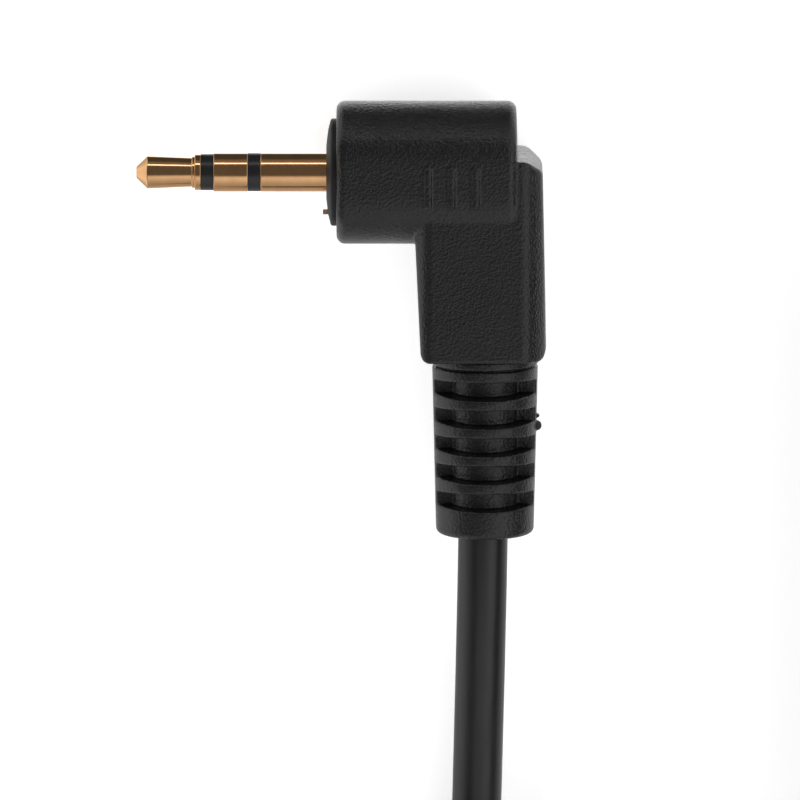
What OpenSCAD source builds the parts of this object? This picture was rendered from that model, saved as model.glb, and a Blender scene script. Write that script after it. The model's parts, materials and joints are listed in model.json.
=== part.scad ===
// Cable shutter release: a right-angle three-pole 2.5 mm plug, its cord, and the
// hand switch with a two-stage release button on a locking slide.
// Origin: centre of the plug's seating shoulder, on the pin's axis. The pin points
// to -X, the cord leaves the plug towards -Y, and everything rests on z = floor_z.

/* [Plug pin] */
// Diameter of the pin
pin_d = 2.5; // [2.4:0.05:2.6]
// Length of the pin in front of its shoulder
pin_l = 12.2; // [11.6:0.1:12.6]
// Length of the sleeve contact in front of the shoulder
sleeve_l = 4.22; // [4.0:0.05:4.4]
// Length of each insulating band
band_l = 0.82; // [0.7:0.02:0.9]
// Length of the ring contact
ring_l = 2.2; // [2.0:0.05:2.3]

/* [Plug housing] */
// Diameter of the barrel
barrel_d = 9.2; // [9.0:0.1:9.6]
// Thickness of the barrel across its two flats
barrel_t = 8.1; // [7.9:0.05:8.2]
// X of the barrel's closed end
barrel_end = 12.3; // [12.1:0.05:12.5]
// Thickness of the upright block that the cord leaves
block_t = 7.5; // [7.3:0.05:7.6]
// Y of the block's lower face
block_low = -11.9; // [-12.1:0.05:-11.8]
// Height of the three grip ribs
rib_h = 0.15; // [0.1:0.01:0.2]

/* [Strain relief] */
// Diameter next to the block
relief_d = 6.84; // [6.7:0.02:6.9]
// Diameter at the free end
relief_end_d = 6.3; // [6.2:0.02:6.4]
// Length outside the block
relief_l = 11.6; // [11.5:0.05:11.8]
// Distance from one slot to the next
slot_pitch = 1.82; // [1.78:0.01:1.84]
// Height of one slot
slot_h = 0.88; // [0.8:0.01:0.95]

/* [Cord] */
// Diameter of the cord's jacket
cord_d = 3.2; // [3.1:0.02:3.2]
// Radius of the coil at the middle of its bundle
coil_r = 16; // [15.9:0.05:16.1]

/* [Hand switch] */
// Width of the case
hand_w = 28; // [27.6:0.1:28.4]
// Length of the case
hand_l = 62; // [61.8:0.1:62.4]
// Thickness of the case
hand_h = 16.4; // [16.3:0.05:16.6]
// Wall of the case
wall = 1.5; // [1.3:0.05:1.6]
// Diameter of the release button
button_d = 9; // [8.6:0.1:9]
// Travel of the release button to a full press
press_l = 1.5; // [1.3:0.05:1.5]
// Travel of the locking slide
lock_l = 4; // [3.5:0.1:4]

/* [Hidden] */
$fn = 64;
eps = 0.01;

// Everything rests on the grip ribs of the barrel's lower flat.
floor_z = -(barrel_t / 2 + rib_h);

// Pin stack: each contact is a tube round the one before it.
pin_r = pin_d / 2;
neck_r = 1.17;                       // first band, a little under the pin
collar_tip_r = 1.16;                 // the tip's collar narrows towards its front
root_r = 1.45;                       // the sleeve's root inside the inner moulding
root_x = 0.02;
rod_r = 0.35;
tip_tube_r = 0.55;
ring_tube_r = 0.8;
ring_sleeve_r = 1.0;
ring_front = -sleeve_l - band_l;     // X of the ring contact's rear edge
tip_back = ring_front - ring_l - band_l;
shoulder_x = 0.62;                   // X of the housing's front face
flange_r = 2.2;
root_l = 0.7;                        // length of the sleeve's root
tag_t = 0.2;
tip_tag_w = 1.2;
ring_tag_r = 1.5;
ring_tag_y = 0.95;
ring_tag_w = 1.2;
ground_tag_r = 2.75;
ground_tag_y = -2.2;
ground_tag_w = 1.6;
prong = [[-0.22, -2.68, 0.1], [1.4, -2.36, 0.42]];  // locating prong's lowest and highest corners
tag_x = [8.0, 7.2, 7.2];             // X where the tip, ring and ground tags end
ring_tube_end = 2.6;
ring_sleeve_end = 1.9;
sleeve_end = 1.2;
tip_tube_end = 3.0;
rod_end = 4.6;
mould_r = 2.9;
collar_flat_r = 1.7;                 // radius of the collar's flat centre
collar_dome = 0.42;                  // how far its rim curves back
mould_end = 6;
collar_r = 3.45;

// Housing
exit_x = 10.2;                       // axis of the strain relief and cord
chamber_y = [-3.5, 1.7];             // room for the tags and wires behind the mould
chamber_z = 2.2;
chamber_end = exit_x + 1.6;
wire_room_r = 2;
relief_root = -10.4;                 // Y where the relief's root flange ends in the block
relief_root_r = 2.9;
relief_core_r = 2.2;
relief_rib_t = 1.6;
first_ring_l = 1.46;
seam_y = block_low - 0.58;           // groove where the relief's root ring ends
seam_w = 0.14;
seam_r = 3.15;
slots = 5;
bore_r = cord_d / 2 + 0.12;
rib_x = [6.52, 8.03, 9.57];
rib_w = 0.48;
rib_l = 2.7;
rib_y = -0.5;

// Cord. Distances from the floor to the middle of the cord in the coil's three layers.
cord_r = cord_d / 2;
tie_t = 0.4;
layer_z = [for (i = [0:2]) floor_z + tie_t + cord_r + i * cord_d];
coil_x = 11.85;
coil_y = -69;
coil_out = coil_r + cord_d;
tie_w = 11;                          // angle that the tie covers
tie_end_r = 0.7;
tie_end_l = 5;
tie_at = 215;
wire_r = 0.45;

// Hand switch
hand_x = 46.5;
hand_y = -28;
hand_z = floor_z + hand_h / 2;       // parting plane, and height of the cord's exit
plan_r = 12.5;
side_r = 7;
section_r = 6;
hand_top = floor_z + hand_h;
well_w = 15.4;
plate_w = 15;
plate_l = 24;
plate_v = 6;                         // middle of the slide's plate, along the case
well_l = plate_l + lock_l + 0.4;
well_v = plate_v + lock_l / 2;
well_z = hand_top - 2;               // floor of the well
tray_t = 1.4;
plate_z = well_z + 0.1;
plate_t = 2.3;
button_v = 3;
button_clear = 0.2;
flange_d = 10.2;
flange_t = 1;
leg_x = 5.3;
leg_t = 0.8;
leg_l = 12;
opening_w = 12.4;
opening_l = leg_l + lock_l + 0.4;
keeper_gap = 0.2;
keeper_t = 1.35;
keeper_l = 16;
keeper_z = well_z - tray_t - keeper_gap - keeper_t;
detent_r = 0.35;
detent_t = 0.2;
detent_w = 0.9;
detent_foot = 11.9;                  // where the spring's foot meets the case's wall
stem_d = 3;
leaf_t = 0.25;
leaf_w = 5;
leaf_gap = press_l / 2 - 0.05;
leaf_z = [for (i = [0:2]) 6.25 - i * (leaf_gap + leaf_t)];
leaf_front = 9.5;
tail_v = -18.5;
tail_x = [-1.8, 0, 1.8];
block_v = [-16, -9];
block_w = 14;
block_z = [3.3, 7.6];
block_screw_x = 5.2;
case_screw_at = [[0, 26.3], [-8.5, -19.5], [8.5, -19.5]];
screw_r = 1;
screw_head_r = 1.9;
boss_r = 2.3;
clamp_v = [-27, -23];
clamp_w = 12;
clamp_t = 1.3;
clamp_screw_x = 4.2;
cord_end_v = -22;
grommet_hole_r = 3.6;
grommet_l = 9;
flange_v = -hand_l / 2 + wall + 0.1;
grommet_flange_r = 4.4;
grommet_flange_t = 1.2;
flange_gap = 0.05;

// Route of the cord from inside the plug's block to where it lies in the coil
plug_route = [
    [10.2, -9.5, 0], [10.2, -12, 0], [10.18, -15, 0], [10.15, -18, 0], [10.12, -21, 0],
    [10.08, -24, -0.05], [10.03, -27, -0.2], [9.97, -30, -0.5], [9.91, -33, -0.95], [9.84, -36, -1.45],
    [9.77, -39, -1.95], [9.65, -42.5, -2.4], [9.18, -45.9, -2.55], [7.85, -49, -2.5],
    [5.74, -51.7, -2.35], [3.05, -53.8, -2.2]
];
// Route of the cord from the coil's top turn into the hand switch
hand_route = [
    [9.4, -83.2, 5.6], [12, -83.4, 6.0], [15, -83.4, 6.7], [18.5, -83.4, 7.2], [22, -83.4, 7.4],
    [25.5, -83.4, 7.25], [29, -83.4, 6.8], [32.5, -83.4, 6.15], [36, -83.15, 5.45], [39.2, -82.1, 4.8],
    [42, -80.2, 4.25], [44.2, -77.7, 3.85], [45.8, -74.7, 3.65], [46.4, -71.5, 3.7], [46.5, -68, 3.85],
    [46.5, -64, 4.0], [46.5, -59, 4.0], [46.5, -54, 4.0], [46.5, -50, 4.0]
];

// ---------- helpers ----------

// A solid turned about the X axis from [x, radius] points
module turned(profile) {
    rotate([0, 90, 0]) rotate_extrude() polygon([for (p = profile) [p[1], p[0]]]);
}

// A tube about the X axis, from x0 to x1
module tube_x(x0, x1, outer, inner) {
    turned([[x0, inner], [x0, outer], [x1, outer], [x1, inner]]);
}

// A cylinder from y0 up to y1, about the line through x and z
module rod_y(x, z, y0, y1, r) {
    translate([x, y1, z]) rotate([90, 0, 0]) cylinder(r = r, h = y1 - y0);
}

module block(low, high) {
    translate(low) cube(high - low);
}

module rounded(w, l, r) {
    square([w - 2 * r, l], center = true);
    square([w, l - 2 * r], center = true);
    for (sx = [-1, 1], sy = [-1, 1]) translate([sx * (w / 2 - r), sy * (l / 2 - r)]) circle(r = r);
}

// The local frame of the hand switch: X across, Y along, Z as in the row frame
module at_hand() {
    translate([hand_x, hand_y, 0]) children();
}

function unit(v) = v / norm(v);
// A ring of n points round p, across the direction t
function ring_at(p, t, r, n) =
    let (side = unit(cross(t, [0.02, 0.03, 1])), up = cross(side, t))
    [for (k = [0:n - 1]) p + r * (cos(360 * k / n) * side + sin(360 * k / n) * up)];
// The direction of a route at its i-th point
function heading(route, i) =
    unit(route[min(i + 1, len(route) - 1)] - route[max(i - 1, 0)]);

// A closed tube of n sides swept along a route
module swept(route, r, n) {
    rings = len(route);
    points = [for (i = [0:rings - 1]) each ring_at(route[i], heading(route, i), r, n)];
    sides = [for (i = [0:rings - 2], k = [0:n - 1])
        each [[i * n + k, i * n + (k + 1) % n, (i + 1) * n + (k + 1) % n],
              [i * n + k, (i + 1) * n + (k + 1) % n, (i + 1) * n + k]]];
    first = [for (k = [n - 1:-1:0]) k];
    last = [for (k = [0:n - 1]) (rings - 1) * n + k];
    polyhedron(points, concat([first], sides, [last]), convexity = 4);
}

// Points on a smooth curve through a short list of points
function curve_point(a, b, c, d, t) =
    0.5 * ((2 * b) + (c - a) * t + (2 * a - 5 * b + 4 * c - d) * t * t
           + (3 * b - a - 3 * c + d) * t * t * t);
function through(p, steps) = [
    for (i = [0:len(p) - 2], s = [0:steps - 1])
        curve_point(p[max(i - 1, 0)], p[i], p[i + 1], p[min(i + 2, len(p) - 1)], s / steps),
    p[len(p) - 1]
];

module wire(points) {
    swept(through(points, 4), wire_r, 8);
}

// A cross-headed self-tapping screw, its head's top at z = 0, pointing down
module screw(length, head_r, head_h, r) {
    difference() {
        union() {
            translate([0, 0, -head_h]) cylinder(r1 = head_r, r2 = head_r * 0.86, h = head_h);
            translate([0, 0, -length]) cylinder(r = r, h = length - head_h + eps);
        }
        for (a = [0, 90]) rotate([0, 0, a]) cube([head_r * 1.15, head_r * 0.25, head_h], center = true);
    }
}

// ---------- plug: pin ----------

module tip_contact() color("goldenrod") turned([
    [-pin_l, 0], [-pin_l, 0.37], [-pin_l + 0.7, 1.06], [tip_back - 0.58, 0.94], [tip_back - 0.58, 1.02],
    [tip_back - 0.4, 1.02], [tip_back - 0.4, collar_tip_r], [tip_back, neck_r], [tip_back, rod_r],
    [rod_end, rod_r], [rod_end, 0]
]);

module tip_insulator() color("black") turned([
    [tip_back, rod_r], [tip_back, neck_r], [tip_back + band_l, collar_tip_r], [tip_back + band_l, tip_tube_r],
    [tip_tube_end, tip_tube_r], [tip_tube_end, rod_r]
]);

module ring_contact() color("goldenrod") turned([
    [ring_front - ring_l, tip_tube_r], [ring_front - ring_l, pin_r], [ring_front, pin_r],
    [ring_front, ring_tube_r], [ring_tube_end, ring_tube_r], [ring_tube_end, tip_tube_r]
]);

module ring_insulator() color("black") turned([
    [ring_front, ring_tube_r], [ring_front, pin_r], [-sleeve_l, pin_r], [-sleeve_l, ring_sleeve_r],
    [ring_sleeve_end, ring_sleeve_r], [ring_sleeve_end, ring_tube_r]
]);

module sleeve_contact() color("goldenrod") turned([
    [-sleeve_l, ring_sleeve_r], [-sleeve_l, pin_r], [root_x, pin_r], [root_x, root_r],
    [root_l, root_r], [root_l, flange_r], [sleeve_end, flange_r], [sleeve_end, ring_sleeve_r]
]);

// ---------- plug: solder tags ----------

module tip_tag_strip() block([rod_end, -tip_tag_w / 2, -tag_t / 2], [tag_x[0], tip_tag_w / 2, tag_t / 2]);
module ring_tag_strip() block([ring_tube_end, ring_tag_y, -ring_tag_w / 2],
                              [tag_x[1], ring_tag_y + tag_t, ring_tag_w / 2]);
module ground_tag_strip() block([sleeve_end, ground_tag_y, -ground_tag_w / 2],
                                [tag_x[2], ground_tag_y + tag_t, ground_tag_w / 2]);

module tip_tag() color("peru") tip_tag_strip();

module ring_tag() color("peru") union() {
    tube_x(ring_tube_end, ring_tube_end + tag_t, ring_tag_r, tip_tube_r);
    ring_tag_strip();
}

// The ground tag also has a locating prong that comes out beside the pin
module ground_tag() color("peru") union() {
    tube_x(sleeve_end, sleeve_end + tag_t, ground_tag_r, ring_sleeve_r);
    ground_tag_strip();
    block(prong[0], prong[1]);
}

// The room that the pin stack and its tags take inside the inner mould
module stack_room() {
    tube_x(-1, root_x, pin_r, 0);
    tube_x(root_x, sleeve_end, root_r, 0);
    tube_x(root_l, sleeve_end, flange_r, 0);
    tube_x(sleeve_end, sleeve_end + tag_t, ground_tag_r, 0);
    tube_x(sleeve_end, ring_sleeve_end, ring_sleeve_r, 0);
    tube_x(ring_sleeve_end, ring_tube_end, ring_tube_r, 0);
    tube_x(ring_tube_end, ring_tube_end + tag_t, ring_tag_r, 0);
    tube_x(ring_tube_end, tip_tube_end, tip_tube_r, 0);
    tube_x(tip_tube_end, rod_end, rod_r, 0);
    tip_tag_strip();
    ring_tag_strip();
    ground_tag_strip();
    block(prong[0] - [1, 0, 0], prong[1]);
}

// ---------- plug: mouldings ----------

// The first moulding holds the pin and tags; its domed collar shows round the pin
module inner_mould() color("dimgray") difference() {
    turned(concat(
        [[0, 0], [0, collar_flat_r]],
        [for (a = [10:10:90])
            [collar_dome * (1 - cos(a)), collar_flat_r + (collar_r - collar_flat_r) * sin(a)]],
        [[shoulder_x, collar_r], [shoulder_x, mould_r], [mould_end, mould_r], [mould_end, 0]]
    ));
    stack_room();
}

// Plan of the block, seen from +Z: it leans a little and has one cut corner
module block_plan() polygon([
    [5.45, 0], [6.05, block_low + 0.35], [6.35, block_low], [13.8, block_low], [14.15, block_low + 0.5],
    [13.9, 0.4], [12.9, 1.2], [6, 1.2]
]);

// Section of the block, seen along Y, with its four bevelled edges
module block_section() {
    h = block_t / 2;
    left = [5.3, 1.15];                  // x of the bevel's outer edge, and how far it comes down
    right = [14.25, 1.4];
    face = [6.4, 12.95];                 // x where the flat face starts and ends
    polygon([[left[0], h - left[1]], [face[0], h], [face[1], h], [right[0], h - right[1]],
             [right[0], -h + right[1]], [face[1], -h], [face[0], -h], [left[0], -h + left[1]]]);
}

module housing_body() {
    intersection() {
        translate([shoulder_x, 0, 0]) rotate([0, 90, 0]) cylinder(d = barrel_d, h = barrel_end - shoulder_x);
        block([0, -barrel_d, -barrel_t / 2], [20, barrel_d, barrel_t / 2]);
    }
    intersection() {
        translate([0, 0, -block_t / 2]) linear_extrude(block_t) block_plan();
        translate([0, 5, 0]) rotate([90, 0, 0]) linear_extrude(20) block_section();
    }
    for (x = rib_x, side = [-1, 1])
        translate([x, rib_y, side * (barrel_t / 2)]) cube([rib_w, rib_l, 2 * rib_h], center = true);
}

module plug_housing() color("#232323") difference() {
    housing_body();
    tube_x(shoulder_x - 1, mould_end, mould_r, 0);
    block([mould_end - 1, chamber_y[0], -chamber_z], [chamber_end, chamber_y[1], chamber_z]);
    rod_y(exit_x, 0, plug_route[0][1], 0.5, wire_room_r);
    rod_y(exit_x, 0, block_low - 1, 0, bore_r);
    rod_y(exit_x, 0, block_low - 1, relief_root, relief_root_r);
}

// Tapered sleeve with five slots on each face, joined by ribs at the parting plane
module strain_relief() color("#1c1c1c") difference() {
    union() {
        translate([exit_x, block_low, 0]) rotate([90, 0, 0])
            cylinder(d1 = relief_d, d2 = relief_end_d, h = relief_l);
        rod_y(exit_x, 0, block_low, relief_root, relief_root_r);
    }
    rod_y(exit_x, 0, block_low - relief_l - 1, 0, bore_r);
    difference() {
        rod_y(exit_x, 0, seam_y - seam_w / 2, seam_y + seam_w / 2, relief_d);
        rod_y(exit_x, 0, seam_y - seam_w, seam_y + seam_w, seam_r);
    }
    for (i = [0:slots - 1], side = [-1, 1])
        slot_cut(block_low - first_ring_l - i * slot_pitch, side);
}

module slot_cut(y, side) difference() {
    block([exit_x - relief_d, y - slot_h, min(side * relief_rib_t / 2, side * relief_d)],
          [exit_x + relief_d, y, max(side * relief_rib_t / 2, side * relief_d)]);
    rod_y(exit_x, 0, y - slot_h - 1, y + 1, relief_core_r);
}

// ---------- plug: wires ----------

module plug_wire_tip() color("red") wire([
    [10.2, -9.5, 0.8], [10.2, -6.5, 0.8], [10.1, -4, 0.6], [9.6, -1.6, 0.3], [8.8, -0.3, 0.05], [8, 0, 0]
]);
module plug_wire_ring() color("white") wire([
    [10.9, -9.5, -0.45], [10.9, -6.5, -0.5], [11, -3.5, -0.5], [10.6, -0.7, -0.4],
    [9.4, 0.9, -0.1], [7.2, 1.1, 0]
]);
module plug_wire_ground() color("peru") wire([
    [9.5, -9.5, -0.45], [9.5, -7.5, -0.5], [9.35, -5.2, -0.5], [8.9, -3.4, -0.4],
    [8.1, -2.2, -0.1], [7.2, -1.9, 0]
]);

// ---------- cord ----------

module cord_plug_side() color("#262626") swept(plug_route, cord_r, 8);
module cord_hand_side() color("#262626") swept(hand_route, cord_r, 8);

// Outline of the bundle of turns, two wide and three high, grown by g
module bundle(g) translate([coil_r, layer_z[1]])
    rounded(2 * cord_d + 2 * g, 3 * cord_d + 2 * g, cord_r + g);

module cord_coil() color("#262626")
    translate([coil_x, coil_y, 0]) rotate_extrude($fn = 96) bundle(0);

module cord_tie() color("#101010") {
    translate([coil_x, coil_y, 0]) rotate([0, 0, tie_at - tie_w / 2])
        rotate_extrude(angle = tie_w, $fn = 96) difference() {
            bundle(tie_t);
            bundle(0);
        }
    translate([coil_x, coil_y, layer_z[1]]) rotate([0, 90, tie_at])
        translate([0, 0, coil_out + tie_t / 2]) cylinder(r = tie_end_r, h = tie_end_l);
}

// ---------- hand switch: case ----------

// The rounded pod that both shells are cut from, drawn in by g on every side
module pod(g) {
    w = hand_w - 2 * g;
    l = hand_l - 2 * g;
    h = hand_h - 2 * g;
    translate([0, 0, hand_z]) intersection() {
        translate([0, 0, -h / 2]) linear_extrude(h) rounded(w, l, plan_r - g);
        translate([-w / 2, 0, 0]) rotate([90, 0, 90]) linear_extrude(w) rounded(l, h, side_r - g);
        translate([0, l / 2, 0]) rotate([90, 0, 0]) linear_extrude(l) rounded(w, h, section_r - g);
    }
}

module half_space(above) {
    s = hand_l;
    translate([-s, -s, above ? hand_z : hand_z - s]) cube([2 * s, 2 * s, s]);
}

// The hole for the grommet and the pocket behind it for the grommet's flange
module grommet_hole() {
    rod_y(0, hand_z, -hand_l / 2 - 2, -hand_l / 2 + 6, grommet_hole_r);
    rod_y(0, hand_z, flange_v - flange_gap, flange_v + grommet_flange_t + flange_gap,
          grommet_flange_r + flange_gap);
}

module case_top() color("#2b2b2b") at_hand() difference() {
    union() {
        difference() {
            intersection() {
                pod(0);
                half_space(true);
            }
            pod(wall);
        }
        intersection() {
            pod(wall / 2);
            union() {
                translate([0, well_v, well_z - tray_t])
                    linear_extrude(4) rounded(well_w + 3, well_l + 3, 5.5);
                for (p = case_screw_at) translate([p[0], p[1], hand_z])
                    cylinder(r = boss_r, h = hand_h / 2);
            }
        }
    }
    translate([0, well_v, well_z]) linear_extrude(5) rounded(well_w, well_l, 4.2);
    translate([0, button_v + lock_l / 2, well_z - 3]) linear_extrude(5) rounded(opening_w, opening_l, 0.2);
    for (p = case_screw_at) translate([p[0], p[1], hand_z - 1]) cylinder(r = screw_r, h = 5.4);
    grommet_hole();
}

module case_bottom() color("#2b2b2b") at_hand() difference() {
    union() {
        difference() {
            intersection() {
                pod(0);
                half_space(false);
            }
            pod(wall);
        }
        intersection() {
            pod(wall / 2);
            union() {
                for (p = case_screw_at) translate([p[0], p[1], floor_z])
                    cylinder(r = boss_r, h = hand_h / 2);
                block([-block_w / 2, block_v[0], floor_z], [block_w / 2, block_v[1], block_z[0]]);
            }
        }
        intersection() {
            pod(wall / 2);
            block([-clamp_w / 2, clamp_v[0], floor_z], [clamp_w / 2, clamp_v[1], hand_z + 1.3]);
        }
    }
    for (p = case_screw_at) translate([p[0], p[1], floor_z]) {
        translate([0, 0, -1]) cylinder(r = screw_head_r + 0.2, h = 3);
        cylinder(r = screw_r + 0.15, h = 12);
    }
    for (s = [-1, 1]) {
        translate([s * block_screw_x, (block_v[0] + block_v[1]) / 2, 0]) cylinder(r = 0.8, h = 8);
        translate([s * clamp_screw_x, (clamp_v[0] + clamp_v[1]) / 2, 0.5]) cylinder(r = 0.8, h = 8);
    }
    block([-cord_r - 0.1, clamp_v[0] - 1, hand_z - cord_r - 0.1], [cord_r + 0.1, clamp_v[1] + 1, hand_z + 5]);
    grommet_hole();
}

module case_screws() color("silver") at_hand()
    for (p = case_screw_at) translate([p[0], p[1], floor_z + 0.35]) rotate([180, 0, 0])
        screw(12, screw_head_r, 1.5, screw_r);

// ---------- hand switch: button and slide ----------

module release_button() color("#3a3a3a") at_hand() translate([0, button_v, 0]) {
    dome_z = hand_top + 2.2;
    rotate_extrude() polygon(concat(
        [[0, leaf_z[0] + leaf_t + 0.05], [stem_d / 2, leaf_z[0] + leaf_t + 0.05],
         [stem_d / 2, plate_z - 0.1 - flange_t], [flange_d / 2, plate_z - 0.1 - flange_t],
         [flange_d / 2, plate_z - 0.1], [button_d / 2, plate_z - 0.1], [button_d / 2, dome_z - 0.9]],
        [for (a = [15:15:75]) [button_d / 2 - 0.8 + 0.8 * cos(a), dome_z - 0.9 + 0.6 * sin(a)]],
        [[button_d / 2 - 0.8, dome_z - 0.3], [2.2, dome_z - 0.12], [0, dome_z]]
    ));
}

module lock_slide() color("#333333") at_hand() difference() {
    union() {
        translate([0, plate_v, plate_z]) linear_extrude(plate_t) rounded(plate_w, plate_l, 4);
        for (i = [0:3]) translate([0, plate_v + 4.2 + i * 1.8, plate_z + plate_t])
            cube([9, 0.7, 0.9], center = true);
        for (s = [-1, 1]) translate([s * (leg_x + leg_t / 2), button_v, 0])
            block([-leg_t / 2, -leg_l / 2, keeper_z], [leg_t / 2, leg_l / 2, plate_z + eps]);
    }
    translate([0, button_v, plate_z - 1]) cylinder(d = button_d + 2 * button_clear, h = 6);
}

module slide_keeper() color("dimgray") at_hand() translate([0, button_v, keeper_z])
    linear_extrude(keeper_t) difference() {
        square([plate_w, keeper_l], center = true);
        square([2 * (leg_x + leg_t), leg_l], center = true);
        for (v = [-1, 1]) translate([plate_w / 2, v * lock_l / 2]) circle(r = detent_r + 0.15);
    }

// A bent leaf on the case's wall that clicks into the keeper's notches
module detent_spring() color("peru") at_hand() {
    x = plate_w / 2 + detent_r;
    low = keeper_z + 0.2;
    block([x, -6, low], [x + detent_t, 12, low + detent_w]);
    block([x, -6, low], [detent_foot, -6 + 2 * detent_t, low + detent_w]);
    translate([plate_w / 2 + 0.05, button_v + lock_l / 2, low]) cylinder(r = detent_r, h = detent_w);
}

// ---------- hand switch: contacts ----------

module leaf(i) at_hand() union() {
    block([-leaf_w / 2, block_v[0] - 1, leaf_z[i]], [leaf_w / 2, leaf_front, leaf_z[i] + leaf_t]);
    block([tail_x[i] - 0.7, tail_v, leaf_z[i]], [tail_x[i] + 0.7, block_v[0] - 0.5, leaf_z[i] + leaf_t]);
}
module leaf_common() color("gold") leaf(0);
module leaf_focus() color("gold") leaf(1);
module leaf_release() color("gold") leaf(2);

module contact_block() color("ivory") at_hand() difference() {
    block([-block_w / 2, block_v[0], block_z[0]], [block_w / 2, block_v[1], block_z[1]]);
    for (z = leaf_z) block([-leaf_w / 2, block_v[0] - 1, z], [leaf_w / 2, block_v[1] + 1, z + leaf_t]);
    for (s = [-1, 1]) translate([s * block_screw_x, (block_v[0] + block_v[1]) / 2, 0])
        cylinder(r = 1.15, h = 12);
}

module contact_screws() color("silver") at_hand()
    for (s = [-1, 1]) translate([s * block_screw_x, (block_v[0] + block_v[1]) / 2, block_z[1] + 1])
        screw(8, 1.6, 1, 0.8);

// ---------- hand switch: cord entry ----------

module hand_grommet() color("#1c1c1c") at_hand() difference() {
    union() {
        translate([0, -hand_l / 2 + 0.7, hand_z]) rotate([90, 0, 0])
            cylinder(r1 = grommet_hole_r, r2 = 2.7, h = grommet_l + 0.7);
        rod_y(0, hand_z, -hand_l / 2 + 0.7, flange_v, grommet_hole_r);
        rod_y(0, hand_z, flange_v, flange_v + grommet_flange_t, grommet_flange_r);
    }
    rod_y(0, hand_z, -hand_l, 0, bore_r);
    for (i = [0:3]) translate([0, -hand_l / 2 - 2.2 - i * 1.9, hand_z]) rotate([90, 0, 0])
        difference() {
            cylinder(r = 5, h = 0.8);
            translate([0, 0, -1]) cylinder(r = 2.3, h = 3);
        }
}

module cord_clamp() color("dimgray") at_hand() difference() {
    low = hand_z + cord_r + 0.05;
    block([-clamp_w / 2, clamp_v[0], low], [clamp_w / 2, clamp_v[1], low + clamp_t]);
    for (s = [-1, 1]) translate([s * clamp_screw_x, (clamp_v[0] + clamp_v[1]) / 2, 0])
        cylinder(r = 1.1, h = 12);
}

module clamp_screws() color("silver") at_hand()
    for (s = [-1, 1]) translate([s * clamp_screw_x, (clamp_v[0] + clamp_v[1]) / 2, hand_z + cord_r + 2.25])
        screw(6.5, 1.6, 0.9, 0.8);

module hand_wire(i) at_hand() wire([
    [tail_x[i] * 0.35, cord_end_v, hand_z + (i == 1 ? 0.7 : -0.4)],
    [tail_x[i] * 0.5, cord_end_v + 0.9, hand_z + (i == 1 ? 0.8 : 0)],
    [tail_x[i] * 0.9, cord_end_v + 2.2, (hand_z + leaf_z[i]) / 2 + 0.3],
    [tail_x[i], tail_v, leaf_z[i] + leaf_t / 2]
]);
module hand_wire_common() color("white") hand_wire(0);
module hand_wire_focus() color("red") hand_wire(1);
module hand_wire_release() color("peru") hand_wire(2);

// ---------- nodes ----------

tip_contact();
tip_insulator();
ring_contact();
ring_insulator();
sleeve_contact();
tip_tag();
ring_tag();
ground_tag();
inner_mould();
plug_housing();
strain_relief();
plug_wire_tip();
plug_wire_ring();
plug_wire_ground();
cord_plug_side();
cord_coil();
cord_tie();
cord_hand_side();
case_top();
case_bottom();
case_screws();
release_button();
lock_slide();
slide_keeper();
detent_spring();
contact_block();
contact_screws();
leaf_common();
leaf_focus();
leaf_release();
hand_grommet();
cord_clamp();
clamp_screws();
hand_wire_common();
hand_wire_focus();
hand_wire_release();
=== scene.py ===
"""Cable shutter release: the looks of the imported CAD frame, as a Blender 4.5 script.

The row frame is used as it is: the pin points to -X, the cord leaves the plug to -Y, and
+Z is up. Shapes are written in millimetres and turned into metres where a mesh is made.
"""

import json
import math

import bmesh
import bpy
import numpy as np
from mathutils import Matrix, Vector


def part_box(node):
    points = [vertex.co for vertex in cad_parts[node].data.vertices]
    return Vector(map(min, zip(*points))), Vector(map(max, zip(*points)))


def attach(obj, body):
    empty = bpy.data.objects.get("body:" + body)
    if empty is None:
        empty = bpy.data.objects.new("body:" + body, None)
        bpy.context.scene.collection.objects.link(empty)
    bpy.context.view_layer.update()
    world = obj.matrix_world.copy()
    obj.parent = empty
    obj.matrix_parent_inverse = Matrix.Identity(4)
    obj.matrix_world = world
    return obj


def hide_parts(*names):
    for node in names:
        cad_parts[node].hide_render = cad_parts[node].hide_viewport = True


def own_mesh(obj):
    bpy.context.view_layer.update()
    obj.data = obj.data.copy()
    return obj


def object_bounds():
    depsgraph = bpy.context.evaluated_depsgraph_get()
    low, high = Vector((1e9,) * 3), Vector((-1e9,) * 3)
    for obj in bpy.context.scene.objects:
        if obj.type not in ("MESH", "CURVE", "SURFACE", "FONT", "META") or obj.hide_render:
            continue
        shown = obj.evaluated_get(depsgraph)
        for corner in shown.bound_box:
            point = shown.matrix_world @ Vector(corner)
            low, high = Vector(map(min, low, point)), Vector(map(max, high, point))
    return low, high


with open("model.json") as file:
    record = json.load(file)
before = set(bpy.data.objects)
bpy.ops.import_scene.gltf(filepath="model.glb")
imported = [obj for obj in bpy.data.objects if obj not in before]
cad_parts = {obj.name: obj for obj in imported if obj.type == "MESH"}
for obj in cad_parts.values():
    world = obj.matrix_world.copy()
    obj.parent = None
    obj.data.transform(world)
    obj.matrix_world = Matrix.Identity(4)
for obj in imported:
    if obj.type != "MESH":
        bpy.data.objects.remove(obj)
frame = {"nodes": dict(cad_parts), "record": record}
CAD_BOX = [list(corner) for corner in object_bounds()]
MM = 0.001
MAIN, SLIDE, BUTTON = "release", "lock_slide", "release_button"


def box_mm(node):
    """A CAD node's lowest and highest corners, in millimetres."""
    low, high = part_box(node)
    return np.array(low) / MM, np.array(high) / MM


def middle(node):
    low, high = box_mm(node)
    return (low + high) / 2


# ---------------------------------------------------------------- sizes from the frame

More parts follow.
